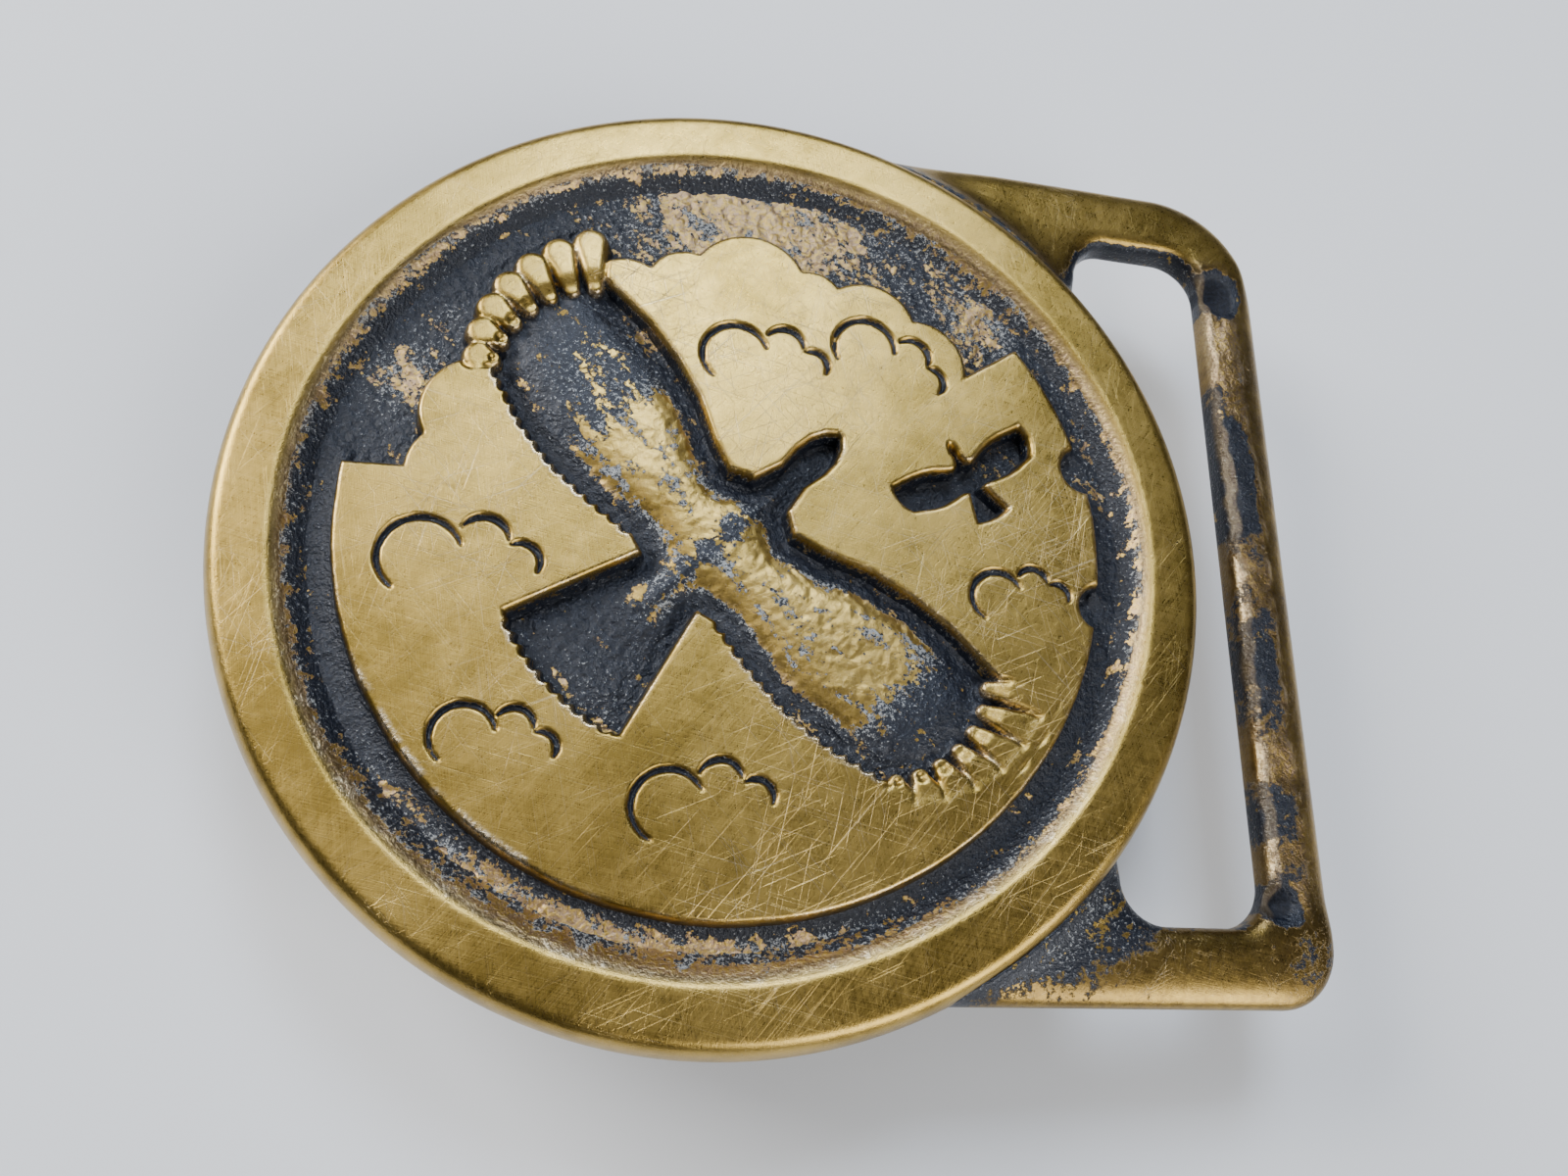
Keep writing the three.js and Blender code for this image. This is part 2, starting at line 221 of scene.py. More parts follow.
class Finish:
    """A material under construction: one Principled shader and the nodes that feed it."""

    def __init__(self, name):
        self.material = bpy.data.materials.new(name)
        self.material.use_nodes = True
        self.tree = self.material.node_tree
        self.shader = self.tree.nodes["Principled BSDF"]

        # Every pattern is laid out in the piece's own coordinates, in millimetres.
        place = self.node("ShaderNodeTexCoord", {}, {}, "Object")
        in_millimetres = {0: place, "Scale": 1 / MM}
        self.place = self.node("ShaderNodeVectorMath", {"operation": "SCALE"}, in_millimetres, "Vector")

    def node(self, kind, settings, values, output=0):
        """Adds a node: its settings first, then the values or links of its sockets."""
        made = self.tree.nodes.new(kind)
        for label, setting in settings.items():
            setattr(made, label, setting)
        for label, value in values.items():
            socket = self.find(made.inputs, label)
            if isinstance(value, Value):
                self.tree.links.new(value.socket, socket)
            else:
                socket.default_value = value
        return Value(self, self.find(made.outputs, output))

    @staticmethod
    def find(sockets, label):
        """The socket of that number, or the enabled one of that name."""
        if isinstance(label, int):
            return sockets[label]
        return next(socket for socket in sockets if socket.name == label and socket.enabled)

    def mark(self, label):
        """The mesh's own number of that name at each point."""
        return self.node("ShaderNodeAttribute", {"attribute_name": label}, {}, "Fac")

    def noise(self, grain, detail=2.0, rough=0.5):
        """Soft noise, about 0 to 1, with features of the given size in millimetres."""
        values = {"Vector": self.place, "Scale": 1 / grain, "Detail": detail, "Roughness": rough}
        return self.node("ShaderNodeTexNoise", {}, values)

    def streaks(self, turn, length, width, seed, detail=1.0):
        """Noise drawn out into strokes of that length and width, lying at an angle in degrees."""
        values = {"Vector": self.place, "Rotation": (0, 0, np.radians(turn)), "Location": (seed, seed, 0),
                  "Scale": (length, width, width)}
        strokes = self.node("ShaderNodeMapping", {"vector_type": "TEXTURE"}, values, "Vector")
        return self.node("ShaderNodeTexNoise", {}, {"Vector": strokes, "Scale": 1.0, "Detail": detail})

    def mix(self, factor, first, second):
        """The first colour where factor is 0 and the second where it is 1."""
        first, second = ((*side, 1.0) if isinstance(side, tuple) else side for side in (first, second))
        values = {"Factor": factor, "A": first, "B": second}
        return self.node("ShaderNodeMix", {"data_type": "RGBA"}, values, "Result")

    def bump(self, height, depth):
        """Turns a height from 0 to 1 into relief of that depth in millimetres."""
        values = {"Height": height, "Distance": depth * MM, "Strength": 1.0}
        self.feed("Normal", self.node("ShaderNodeBump", {}, values, "Normal"))

    def feed(self, label, value):
        """Sets or links one of the shader's own sockets."""
        socket = self.shader.inputs[label]
        if isinstance(value, Value):
            self.tree.links.new(value.socket, socket)
        else:
            socket.default_value = value

    def coat(self, piece):
        """Gives the piece this material."""
        piece.data.materials.clear()
        piece.data.materials.append(self.material)


BRASS = (0.470, 0.315, 0.080)
OLIVE_BRASS = (0.260, 0.171, 0.036)
TARNISH = (0.13, 0.083, 0.03)
SCRATCH_AND_GLINT_BRASS = (0.92, 0.78, 0.57)
PATINA = (0.003, 0.005, 0.011)
PATINA_SLATE = (0.007, 0.011, 0.022)
GLINT_SILVER = (0.40, 0.41, 0.40)
WORN_BROWN = (0.36, 0.245, 0.155)


stroke_grain = ((24, 7.0, 0.08, 3), (78, 9.0, 0.07, 11), (131, 6.0, 0.08, 23),
                (165, 10.0, 0.07, 31), (102, 5.0, 0.07, 37), (50, 12.0, 0.07, 61))
hair_grain = ((52, 1.1, 0.06, 43), (-12, 1.2, 0.06, 51), (100, 1.0, 0.06, 57))
face_roughness = 0.28
bump_depth = 0.05


def casting_finish(name, scratch=1.0, pits_turn=30, pits_length=1.7):
    """Brass for the casting, built up as the real skin is: bare metal, tarnish over it, scratches
    through that, then patina with holes rubbed in it, and painted glints over the lot. Four marks
    on the points steer it: "patina" is how deep the dark patina lies, "worn" how far it has been
    rubbed through, the third marks edges rubbed clean and the painted glints laid along edges and
    bevels, and "skin" is 1 where the rubbed metal is brownish cast skin and 0 where it is as smooth
    as the face. Each mark has noise added and is then cut off softly, which gives the ragged borders."""
    finish = Finish(name)
    patina, worn, wear_and_glint, skin = (finish.mark(label) for label in ("patina", "worn", "wear_and_glint", "skin"))
    cloud = finish.noise(8.0, 3.0)
    blotch = finish.streaks(pits_turn, pits_length, 1.1, 5, 5.0) - 0.5
    ragged = finish.noise(0.55, 5.0, 0.7) - 0.5
    grain = finish.noise(0.24, 3.0, 0.6)
    speck = finish.noise(0.09, 2.0)

    # Crossing scratches, gathered in patches, and the finer hairlines between them.
    strokes = sum(finish.streaks(*stroke, 0.0).over(0.73, 0.80) for stroke in stroke_grain)
    strokes = strokes * (finish.noise(7.0, 2.0).over(0.42, 0.70) * 0.75 + 0.25) * scratch
    hairs = (sum(finish.streaks(*hair) for hair in hair_grain) - 1.5) * 0.9

    # Where patina lies, where it is rubbed through, and where a glint is painted on a rubbed edge.
    dark = (patina + blotch * 0.7 + ragged * 0.9).over(0.44, 0.56) * (1 - wear_and_glint)
    rubbed = (worn + blotch * 1.9 + ragged * 1.7 + (grain - 0.5) * 0.6).over(0.47, 0.55)
    covered = dark * (1 - rubbed)
    pit = patina.over(1.5, 2.2)
    glint = wear_and_glint * (grain.over(0.42, 0.60) * 0.9 + 0.35)

    # Bare metal.
    metal = finish.mix((cloud + blotch * 0.6 + hairs * 0.32).over(0.24, 0.76), OLIVE_BRASS, BRASS)
    metal = finish.mix((1 - speck.over(0.24, 0.34)) * 0.5, metal, WORN_BROWN)
    cast = finish.mix(grain.over(0.38, 0.66), WORN_BROWN, BRASS)
    bare = finish.mix(skin, metal, cast)
    tarnish = (patina + ragged * 0.5).over(0.04, 0.44) * (1 - patina.over(0.55, 0.95))
    bare = finish.mix(tarnish * 0.75, bare, TARNISH)
    # Scratches in pale brass, and the painted edge glints in the same pale brass.
    bare = finish.mix((strokes * 0.22 + glint * 0.8).cap(), bare, SCRATCH_AND_GLINT_BRASS)

    # Patina, with painted silver glints on the tops of its grains, more where it is worn and none in the deep
    # holes.
    cover = finish.mix(grain.over(0.42, 0.70), PATINA, PATINA_SLATE)
    grain_glint = (grain + (speck - 0.5) * 0.7 + worn * 0.45).over(0.71, 0.84)
    cover = finish.mix(grain_glint * 0.65 * (1 - pit), cover, GLINT_SILVER)
    finish.feed("Base Color", finish.mix(covered, bare, cover))

    finish.feed("Metallic", 1 - covered * 0.7)
    rough = face_roughness + cloud * 0.08 + hairs * 0.15 + covered * 0.02 + skin * 0.08 - wear_and_glint * 0.08
    finish.feed("Roughness", (rough + pit * 0.4).cap())
    finish.feed("Specular IOR Level", 0.6)
    relief = hairs * 0.16 - strokes * 0.22 + grain * (0.05 + covered * 1.5 + skin * 1.6 + wear_and_glint * 0.8)
    finish.bump(relief + speck * (0.03 + covered * 0.30) - covered * 0.25, bump_depth)
    return finish


lip_round = 0.69
lip_edge = rim_radius - lip_round
lip_inner = flat_radius - lip_width
rim_bury = 0.9
rim_corners = [
    (wall_foot - rim_bury, ground_height - rim_bury),
    (lip_inner - dish_depth, 0.25),
    (lip_inner, -dish_depth),
    *quarter((lip_edge, parting_height), lip_round, parting_height + dish_depth, -90, 0, 12),
    *quarter((flat_radius, parting_height), edge_round, face_height - parting_height, 0, 90, 24),
    (inner_edge, face_height),
    (wall_top, face_height - bevel_drop),
    (wall_foot, ground_height),
    (wall_foot - rim_bury, ground_height - 0.35),
]
rim_profile = worn_loop(rim_corners, count=96, rounding=0.16)
rim_steps = 900
turn = np.linspace(0, 2 * np.pi, rim_steps, endpoint=False)[:, None]
rim_r, rim_z = rim_profile[None, :, 0], rim_profile[None, :, 1]

# The inner circle was finished by hand, so it wanders a little from round.
hand_wobble = 0.16 * np.sin(2 * turn + 0.6) + 0.10 * np.sin(3 * turn + 2.0) + 0.05 * np.sin(7 * turn)
rim_r = rim_r + hand_wobble * ease(flat_radius - 0.8, inner_edge, rim_r) * ease(0.8, 1.6, rim_z)
rim_x, rim_y = rim_r * np.cos(turn), rim_r * np.sin(turn)

# Cast skin on the bevel and the walls, and long low waves on the linished top.
dressed_top = ease(face_height - 0.5, face_height - 0.1, rim_z)
cast_skin = 0.05 * cast_grain(rim_x, rim_y, 1.3, 5) + 0.05 * cast_grain(rim_x, rim_y, 0.55, 7)
cast_skin = cast_skin * (1 - dressed_top) * (rim_r < flat_radius)
linished = 0.03 * (cast_grain(rim_x, rim_y, 9.0, 9, 1) - 1) * dressed_top
rim_z = rim_z + cast_skin + linished
rim_points = np.stack(np.broadcast_arrays(rim_x, rim_y, rim_z), 2)

# Patina creeps up the inner wall and is rubbed thin near the top, unevenly round the rim. At the upper left
# it is raised further as a painted reflection of a blue surround.
depth_below = face_height - rim_z
inner_side = ease(inner_edge + 0.6, inner_edge - 0.2, rim_r)
creep_and_reflection = 0.32 * cast_grain(rim_x, rim_y, 11.0, 15, 2) + 0.22 * spot(rim_x, rim_y, -16, 23, 12)
bevel_glint_band = inner_side * ease(0.05, 0.20, depth_below) * ease(0.75, 0.45, depth_below)
lower_side = ease(6.0, -20.0, rim_y)
rim_marks = {
    "patina": 1.1 * inner_side * ease(0.16, 0.74, depth_below + creep_and_reflection) * ease(-0.2, 0.8, rim_z),
    "worn": 0.16 + 0.42 * ease(1.1, 0.45, depth_below)
            + patches(rim_x, rim_y, [(-6, -26, 14, 0.34), (15, 22, 8, 0.22)]),
    # A painted glint along the bevel, broken into flecks and strongest along the lower side.
    "wear_and_glint": bevel_glint_band * (0.12 + 0.45 * ease(0.05, 0.6, cast_grain(rim_x, rim_y, 0.7, 17)) * lower_side),
    "skin": 0.85 * inner_side * ease(0.10, 0.45, depth_below),
}
rim = grid_piece("disc_rim", rim_points, (True, True), rim_marks)
casting_finish("rim_brass", 0.5).coat(rim)
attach(rim, "root")
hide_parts("buckle_casting")


# ---- Picture: the drawing -----------------------------------------------------------------
# The picture is a soaring bird sunk into a raised medallion of clouds, with a second bird far
# off. It is drawn once, as distances from its outlines, and both the medallion and the sunk
# ground are then shaped from it.

channel_width = 3.6
medallion_radius = inner_edge - channel_width
sheet_step = 0.125
half_steps = int(np.ceil((wall_foot + 0.6) / sheet_step))
ticks = np.arange(-half_steps, half_steps + 1) * sheet_step
sheet_x, sheet_y = np.meshgrid(ticks, ticks)
from_middle = np.hypot(sheet_x, sheet_y)


def outline_distance(x, y, outline):
    """Distance to a closed outline, negative inside it: the nearest side, and a crossing count."""
    outline = np.array(outline, float)
    nearest = np.full(x.shape, np.inf)
    inside = np.zeros(x.shape, bool)
    for (x0, y0), (x1, y1) in zip(outline, np.roll(outline, -1, 0)):
        dx, dy = x1 - x0, y1 - y0
        share = np.clip(((x - x0) * dx + (y - y0) * dy) / (dx * dx + dy * dy + 1e-12), 0, 1)
        nearest = np.minimum(nearest, (x - x0 - share * dx) ** 2 + (y - y0 - share * dy) ** 2)
        if dy != 0:
            inside ^= ((y0 <= y) != (y1 <= y)) & (x < x0 + (y - y0) * dx / dy)
    return np.where(inside, -1, 1) * np.sqrt(nearest)


def bar_distance(x, y, start, end, start_radius, end_radius):
    """Distance to a bar with round ends whose radius changes evenly from start to end."""
    (x0, y0), (x1, y1) = start, end
    dx, dy = x1 - x0, y1 - y0
    share = np.clip(((x - x0) * dx + (y - y0) * dy) / (dx * dx + dy * dy), 0, 1)
    radius = start_radius + (end_radius - start_radius) * share
    return np.hypot(x - x0 - share * dx, y - y0 - share * dy) - radius


def polar(degrees, distance):
    """The point at that angle and distance from the origin."""
    angle = np.radians(degrees)
    return np.stack([distance * np.cos(angle), distance * np.sin(angle)], -1)


# One side of the soaring bird, head first: (along the body, along the wing). Its wing ends in
# a fan of spread feathers, and its tail is a wedge with a round end.
bird_head = [(9.8, 0.2), (9.2, 0.8), (8.2, 1.2), (7, 1.3), (5.4, 1.1), (3.4, 1.6), (2.6, 3)]
bird_front = [(3.2, 5), (4.6, 8), (5.4, 11), (5.8, 14)]
bird_back = [(-4.4, 17.4), (-5.4, 14), (-5.8, 10.5), (-5.6, 7), (-5.2, 4), (-5.6, 2.6)]
fan_centre = np.array((0.5, 12.5))
fan_feathers, fan_first, fan_step = 7, 54, 12
fan_root, fan_spread, fan_shrink = 7.4, 10.6, 0.4
feather_root, feather_tip = 0.5, 1.1
tail_reach, tail_half = 15.2, 20
soaring = {"place": (0.0, 0.0), "turn": 45, "size": 1.0}
distant = {"place": (15.5, 5.0), "turn": 120, "size": 0.24}


def fan_point(index, radius):
    """A point on the middle line of that feather, in the bird's own axes."""
    return fan_centre + polar(fan_first + fan_step * index, radius)


def feather_length(index):
    """How far that feather reaches from the fan's centre: a little less with each one."""
    return fan_spread - fan_shrink * index


def placed(points, side, bird):
    """Carries points of the bird's own axes into the picture: mirrored, scaled, turned, moved."""
    along, across = np.array(points, float).T * bird["size"]
    heading, wingwards = polar(bird["turn"], 1), polar(bird["turn"] + 90, 1)
    return bird["place"] + along[:, None] * heading + side * across[:, None] * wingwards


def bird_outline(bird):
    """Both sides of a bird, with the wings' ends run between the feathers' tips."""
    tips = [fan_point(index, feather_length(index)) for index in np.arange(0.5, fan_feathers - 1)]
    tail = polar(180 - np.linspace(tail_half, 1, 8), tail_reach)
    half = [*bird_head, *bird_front, *tips, *bird_back, *tail]
    return np.vstack([placed(half, 1, bird), placed(half, -1, bird)[::-1]])


bird_distance = outline_distance(sheet_x, sheet_y, bird_outline(soaring))
distant_distance = outline_distance(sheet_x, sheet_y, bird_outline(distant))
distant_distance = distant_distance + 0.03 * cast_grain(sheet_x, sheet_y, 0.8, 71)

# The bird's own axes over the whole sheet, and where its trailing edges and its tail's end lie.
lean = np.radians(soaring["turn"])
body_u = sheet_x * np.cos(lean) + sheet_y * np.sin(lean)
body_v = sheet_y * np.cos(lean) - sheet_x * np.sin(lean)
out_wing = np.abs(body_v)
on_trail = ease(-2.0, -3.6, body_u) * ease(-8.0, -7.0, body_u) * ease(3.6, 4.2, out_wing)
on_trail = on_trail * ease(18.3, 17.4, out_wing)
tail_angle = np.arctan2(body_v, -body_u)
on_tail = ease(13.8, 14.6, np.hypot(body_u, body_v)) * ease(0.34, 0.31, np.abs(tail_angle)) * (body_u < 0)

# Both are serrated: the size of a sine wave is taken off the distance near the outline.
serration_pitch, serration_depth = 0.95, 0.34
trail_wave = np.abs(np.sin(np.pi * body_v / serration_pitch)) * on_trail * (1 - on_tail)
tail_wave = np.abs(np.sin(np.pi * tail_angle * tail_reach / serration_pitch)) * on_tail
near_outline = ease(0.80, 0.20, np.abs(bird_distance))
bird_distance = bird_distance - serration_depth * (trail_wave + tail_wave) * near_outline

feather_distance = np.full(sheet_x.shape, np.inf)
feather_share = np.zeros(sheet_x.shape)
for side in (1, -1):
    for index in range(fan_feathers):
        quill = [fan_point(index, fan_root), fan_point(index, feather_length(index))]
        root, tip = placed(quill, side, soaring)
        distance = bar_distance(sheet_x, sheet_y, root, tip, feather_root, feather_tip)
        reach = np.hypot(sheet_x - root[0], sheet_y - root[1]) / np.hypot(*(tip - root))
        feather_share = np.where(distance < feather_distance, np.clip(reach, 0, 1), feather_share)
        feather_distance = np.minimum(feather_distance, distance)

# A bank of cloud follows an arc from the left to the upper right. Its round heads stand at
# even steps, and their sizes rise and fall along it. The sky is open beyond it.
bank_radius, bank_first, bank_step, bank_heads = 17.4, 172, -14, 10
bank_line = polar(bank_first + bank_step * np.arange(bank_heads), bank_radius)
head_radii = 3.2 + 0.9 * np.sin(2.4 * np.arange(bank_heads))
sky_reach = 34
sky_corners = polar(np.array((38, 36, 82, 129, 176)), np.array((18.4, *[sky_reach] * 4)))
sky = outline_distance(sheet_x, sheet_y, np.vstack([bank_line, sky_corners]))
edge_valleys = [(14, 24.6, 1.8), (-9, 24.6, 1.6)]

land = np.maximum(from_middle - medallion_radius, -sky)
for (head_x, head_y), head_radius in zip(bank_line, head_radii):
    land = np.minimum(land, np.hypot(sheet_x - head_x, sheet_y - head_y) - head_radius)
for degrees, distance, radius in edge_valleys:
    valley_x, valley_y = polar(degrees, distance)
    land = np.maximum(land, radius - np.hypot(sheet_x - valley_x, sheet_y - valley_y))
land = land + 0.05 * cast_grain(sheet_x, sheet_y, 2.2, 31)

# The medallion stands where solid is negative: on land or on a feather, outside both birds.
hollow = np.maximum(bird_distance, -feather_distance)
solid = np.minimum(np.maximum(land, -hollow), feather_distance)
solid = np.maximum(solid, -distant_distance)


# ---- Picture: the medallion ---------------------------------------------------------------
# The raised clouds. The top was linished with the rim and carries fine scratches; its edges
# are worn round, the walls below them hold the dark patina, and the clouds are cut with
# engraved scrolls.

# Each puff of cloud is a large curl with two smaller ones leaning on it. A curl is (along, up,
# radius, first and last angle) and a puff is (x, y, size, turn in degrees).
curls = [(0.0, 0.0, 1.0, 20, 235), (1.45, 0.50, 0.62, 5, 150), (2.35, 0.0, 0.50, -25, 115)]
puffs = [(-18.9, -3.4, 2.5, 0), (-15.4, -14.2, 1.9, -6), (-0.2, 12.2, 2.2, -4), (8.6, 13.6, 2.1, -26),
         (17.2, -3.6, 1.7, 4), (-3.4, -17.8, 2.2, 8)]
graver_lift = 0.14


def arc_distance(x, y, centre, radius, start, end, taper):
    """Distance to an arc that runs anticlockwise between two angles in degrees. Towards its ends
    it grows by taper with the cube of the way from its middle, so that a cut thins out."""
    middle, half = np.radians((start + end) / 2), np.radians((end - start) / 2)
    angle = np.arctan2(y - centre[1], x - centre[0])
    swing = np.abs((angle - middle + np.pi) % (2 * np.pi) - np.pi)
    on_arc = np.abs(np.hypot(x - centre[0], y - centre[1]) - radius)
    ends = [np.hypot(x - end_x, y - end_y) for end_x, end_y in centre + polar(np.array((start, end)), radius)]
    return np.where(swing <= half, on_arc + taper * (swing / half) ** 3, np.minimum(*ends) + taper)


groove = np.full(sheet_x.shape, np.inf)
for puff_x, puff_y, size, turned in puffs:
    for along, up, radius, start, end in curls:
        centre = (puff_x, puff_y) + size * (polar(turned, along) + polar(turned + 90, up))
        arc = centre, radius * size, start + turned, end + turned
        groove = np.minimum(groove, arc_distance(sheet_x, sheet_y, *arc, graver_lift))
groove = groove + 0.06 * cast_grain(sheet_x, sheet_y, 0.8, 41)

# The feathers stand at the wings' ends with rounded tops, low at the root, and steep gaps.
crown_width = 0.48
crown = np.sqrt(1 - (1 - np.clip(-feather_distance, 0, crown_width) / crown_width) ** 2)
feather_drop = 0.04 + 0.32 * (1 - crown) + 0.30 * (1 - ease(0.0, 0.45, feather_share))
merged = ease(-0.2, -1.0, land) * ease(0.0, 0.7, bird_distance)
on_feather = ease(0.30, 0.05, feather_distance) * ease(2.6, 1.8, bird_distance) * (1 - merged)
in_gap = ease(0.7, 0.2, feather_distance) * ease(0.4, -0.2, bird_distance)

# The top, less the worn edge or the feather's roundness, the engraved line and the wall.
edge_wear = 0.20
wall_run = 0.50
wall_sink = 0.25
groove_depth = 0.42
rounding = 0.10 * ease(-edge_wear, 0.02, solid) ** 1.5
wall = ease(-0.02, wall_run - 0.24 * in_gap, solid) * (relief_depth + wall_sink)
cut = groove_depth * ease(0.28, 0.05, groove) * (solid < -0.1)
top = face_height - 0.02 + 0.03 * cast_grain(sheet_x, sheet_y, 7.0, 51, 2)
medallion_z = top - np.maximum(rounding, feather_drop * on_feather) - cut - wall
medallion_z = np.maximum(medallion_z, ground_height - wall_sink)
sunk = top - medallion_z


def sheet_piece(name, height, keep, floor, marks):
    """A closed plate: a sheet of height over the kept cells, walls from its edge down to floor,
    and a flat bottom. Where cells touch only at a corner, the one beside them is kept as well."""
    count = sheet_x.shape[1]
    cells = keep[:-1, :-1] & keep[1:, :-1] & keep[:-1, 1:] & keep[1:, 1:]
    for _ in range(3):
        a, b, c, d = cells[:-1, :-1], cells[:-1, 1:], cells[1:, :-1], cells[1:, 1:]
        pinched = (a & d & ~b & ~c) | (b & c & ~a & ~d)
        cells[:-1, :-1] |= pinched
        cells[:-1, 1:] |= pinched
    row, column = np.nonzero(cells)
    corner = row * count + column
    used, quads = np.unique(np.stack([corner, corner + 1, corner + count + 1, corner + count], 1),
                            return_inverse=True)
    quads = quads.reshape(-1, 4)

    # A side is on the edge of the sheet when no other cell runs along it the other way.
    start, end = quads.ravel(), np.roll(quads, -1, 1).ravel()
    alone = ~np.isin(start * used.size + end, end * used.size + start)
    start, end = start[alone], end[alone]
    edge = np.unique(start)
    foot = used.size + np.searchsorted(edge, (start, end))
    walls = np.stack([end, start, foot[0], foot[1]], 1)

    source = np.concatenate([used, used[edge]])
    level = np.concatenate([height.ravel()[used], np.full(edge.size, floor)])
    points = np.stack([sheet_x.ravel()[source], sheet_y.ravel()[source], level], 1)
    marks = {label: np.broadcast_to(values, sheet_x.shape).ravel()[source] for label, values in marks.items()}
    bm = bmesh_from(points, np.vstack([quads, walls]), marks)
    bottom = [side for side in bm.edges if side.is_boundary]
    bmesh.ops.triangle_fill(bm, use_beauty=False, use_dissolve=False, edges=bottom)
    return finished_mesh(name, bm)


# Patina on the walls and in the grooves, thin and brown along the lower edge; edges rubbed
# clean and given a painted glint in places, and chipped spots between the serrations rubbed clean
# and painted with glints.
on_wall = ease(0.30, 0.75, sunk)
in_groove = ease(0.25, 0.10, groove) * (solid < -0.15)
chipping = 0.5 + 0.5 * cast_grain(sheet_x, sheet_y, 1.3, 61)
edge_wear_and_glint = 0.45 * ease(-0.20, -0.08, solid) * ease(0.08, -0.02, solid)
brown_wall = ease(-12.0, -18.0, sheet_y) * ease(medallion_radius - 1.5, medallion_radius - 0.8, from_middle)
serration_chips_and_glint = ease(-0.55, -0.15, solid) * ease(0.15, -0.05, solid) * np.clip(on_trail + on_tail, 0, 1)
wall_patina = on_wall * (1 - 0.6 * on_feather * (1 - in_gap)) * (1 - 0.60 * brown_wall)
medallion_marks = {
    "patina": np.maximum(wall_patina, in_groove * 1.1),
    "worn": 0.12 + 0.25 * ease(1.0, 0.4, sunk) - 0.3 * in_groove,
    "wear_and_glint": np.maximum(edge_wear_and_glint * ease(0.35, 0.65, chipping), 0.9 * serration_chips_and_glint * ease(0.40, 0.55, chipping)),
    "skin": 0.5 * on_wall,
}
medallion_keep = solid < wall_run + 0.05
medallion_floor = ground_height - 0.6
medallion = sheet_piece("cloud_medallion", medallion_z, medallion_keep, medallion_floor, medallion_marks)
casting_finish("medallion_brass", 0.8).coat(medallion)
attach(medallion, "root")
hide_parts("buckle_casting")


# ---- Picture: the sunk ground -------------------------------------------------------------
# The rough sand-cast ground of the channel, the sky and the two birds. It kept its dark
# patina, except on the swelling back and wings of the bird and where the channel was rubbed.

# The bird swells from its outline inwards, most along its body and wings, and the ground
# rises in a cove against every wall.
within = np.clip(-bird_distance, 0, None)
body_share = ease(-10.5, -6.0, body_u) * ease(21.5, 17.0, out_wing) * ease(7.5, 4.0, body_u)
swell = (0.22 + 0.80 * body_share) * (1 - np.exp(-(within / 1.8) ** 2))
in_channel = ease(medallion_radius - 0.4, medallion_radius + 0.1, from_middle)
from_wall = np.clip(solid, 0, None)
cove = (0.30 + 0.35 * in_channel) * np.exp(-from_wall / (0.25 + 0.45 * in_channel))
smooth_foot = in_channel * np.exp(-(from_wall / 1.1) ** 2)
sand_grain = 0.07 * cast_grain(sheet_x, sheet_y, 1.1, 81) + 0.11 * cast_grain(sheet_x, sheet_y, 0.42, 91, 2)
sand_grain = sand_grain * (1 - 0.7 * ease(0.45, 0.85, swell)) * (1 - 0.8 * smooth_foot)
ground_z = ground_height + swell + sand_grain + cove
ground_keep = (solid > -0.3) & (from_middle < wall_foot + 0.55)

# Rubbed through on the bird's back and wings, and in patches of the channel and the sky.
near_wing = ease(-0.5, 1.5, body_v) * ease(12.5, 8.5, body_v)
far_wing = ease(0.5, -1.5, body_v) * ease(-17.0, -13.0, body_v)
worn_bird = 0.66 * np.clip(near_wing + far_wing, 0, 1) * ease(0.36, 0.74, swell)
worn_bird = worn_bird + patches(body_u, body_v, [(0.0, 13.5, 3.4, 0.30)])
worn_channel = (1 - smooth_foot) * patches(sheet_x, sheet_y, [
    (-13, -22, 9, 0.58), (1, -26, 12, 0.64), (25, 8, 6, 0.35)])
worn_sky = patches(sheet_x, sheet_y, [
    (-21.2, 9.2, 2.4, 0.60), (0, 23.8, 8.5, 0.46), (17.5, 17.5, 3.4, 0.50), (-19, 13.5, 1.6, 0.30),
    (4, 22, 13, 0.28)])
ground_marks = {
    "patina": 1.4,
    "worn": 0.03 + worn_bird + worn_channel + worn_sky,
    "wear_and_glint": 0.0,
    "skin": 1 - 0.9 * ease(0.35, 0.75, swell),
}
ground = sheet_piece("sunk_ground", ground_z, ground_keep, ground_height - 0.5, ground_marks)
casting_finish("ground_patina", 0.3, -45, 3.2).coat(ground)
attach(ground, "root")
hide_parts("buckle_casting")


# ---- Strap loop ---------------------------------------------------------------------------
# Two arms and a bar in one pour with the disc. The arms were linished smooth; webs join them
# to the rim, the bar kept much of its cast skin, and the sharp inner corners have sink holes.

slot_length = 49.2
slot_gap, bar_width, arm_width = 3.55, 4.4, 4.9
loop_thickness, loop_step, loop_fall = 2.9, 1.2, 1.0
loop_drift = 0.85
web_height, slot_corner = 5.2, 3.0
shoulder_inset = 12.7
upper_corner, lower_corner = 8.0, 4.0
arm_root = 3.0
arm_steps, bend_steps, bar_steps, section_steps = 120, 60, 80, 96
bar_inner = rim_radius + slot_gap
bar_outer = bar_inner + bar_width
slot_half = slot_length / 2
loop_half = slot_half + arm_width
web_x = np.sqrt(rim_radius ** 2 - (slot_half - web_height) ** 2)


def along_path(points, count):
    """Evenly spaced points on an open line of straight sides."""
    points = np.array(points, float)
    reach = np.concatenate([[0], np.cumsum(np.hypot(*np.diff(points, axis=0).T))])
    spots = np.linspace(0, reach[-1], count)
    return np.stack([np.interp(spots, reach, points[:, axis]) for axis in (0, 1)], 1)


def joined(paths, counts):
    """Lines end to end, each with its number of points, and the points they share only once."""
    lines = [along_path(path, count) for path, count in zip(paths, counts)]
    return np.vstack([*(line[:-1] for line in lines[:-1]), lines[-1]])


